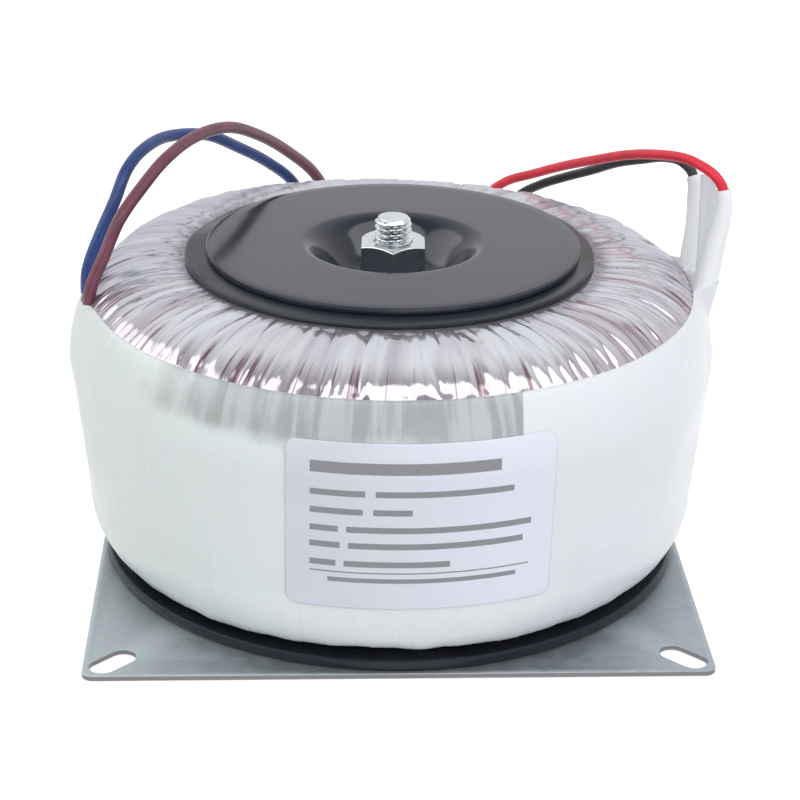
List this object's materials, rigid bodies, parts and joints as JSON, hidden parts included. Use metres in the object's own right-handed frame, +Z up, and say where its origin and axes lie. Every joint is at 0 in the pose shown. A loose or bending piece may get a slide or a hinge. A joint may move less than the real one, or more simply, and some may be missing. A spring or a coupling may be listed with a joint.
{
  "type": "toroidal transformer",
  "caption": "Toroidal mains transformer: a film-wrapped wound ring clamped by a dished disc and one bolt onto a square slotted steel plate, with flexible leads.",
  "frame": {"origin": "centre of the mounting plate's underside", "axes": "+Z up along the clamp bolt and the coil's axis, +X and +Y along the plate's sides; the label faces -Y and the leads run down behind the coil at +Y"},
  "size_m": [0.1776, 0.217, 0.1093],
  "materials": {
    "galvanised_plate": "galvanised, fine spangle, satin",
    "black_pad": "smooth black rubber sheet",
    "core_steel": "wound silicon steel strip",
    "inner_film": "polyester film tape",
    "copper_wire": "enamelled copper wire",
    "clear_film": "clear film, pleated, copper pink beneath",
    "milky_film": "milky white film, soft gloss",
    "label_stock": "coated white label",
    "black_steel": "black satin enamel",
    "zinc": "bright zinc plating",
    "blue_pvc": "satin PVC",
    "brown_pvc": "satin PVC, red brown",
    "red_silicone": "satin",
    "black_silicone": "satin",
    "white_sleeving": "soft woven and coated sleeving",
    "tinned_strands": "tinned copper strands"
  },
  "bodies": {
    "root": {"base_plate": "galvanised_plate", "lower_pad": "black_pad", "core": "core_steel", "core_wrap": "inner_film", "primary_winding": "copper_wire", "interwinding_wrap": "inner_film", "secondary_winding": "copper_wire", "outer_wrap": "clear_film", "side_band": "milky_film", "label": "label_stock", "upper_pad": "black_pad", "clamp_disc": "black_steel", "flat_washer": "zinc", "spring_washer": "zinc", "hex_nut": "zinc", "clamp_bolt": "zinc", "blue_lead": "blue_pvc", "brown_lead": "brown_pvc", "red_lead": "red_silicone", "black_lead": "black_silicone", "red_sleeve": "white_sleeving", "black_sleeve": "white_sleeving", "blue_tip": "tinned_strands", "brown_tip": "tinned_strands", "red_tip": "tinned_strands", "black_tip": "tinned_strands"}
  },
  "joints": []
}
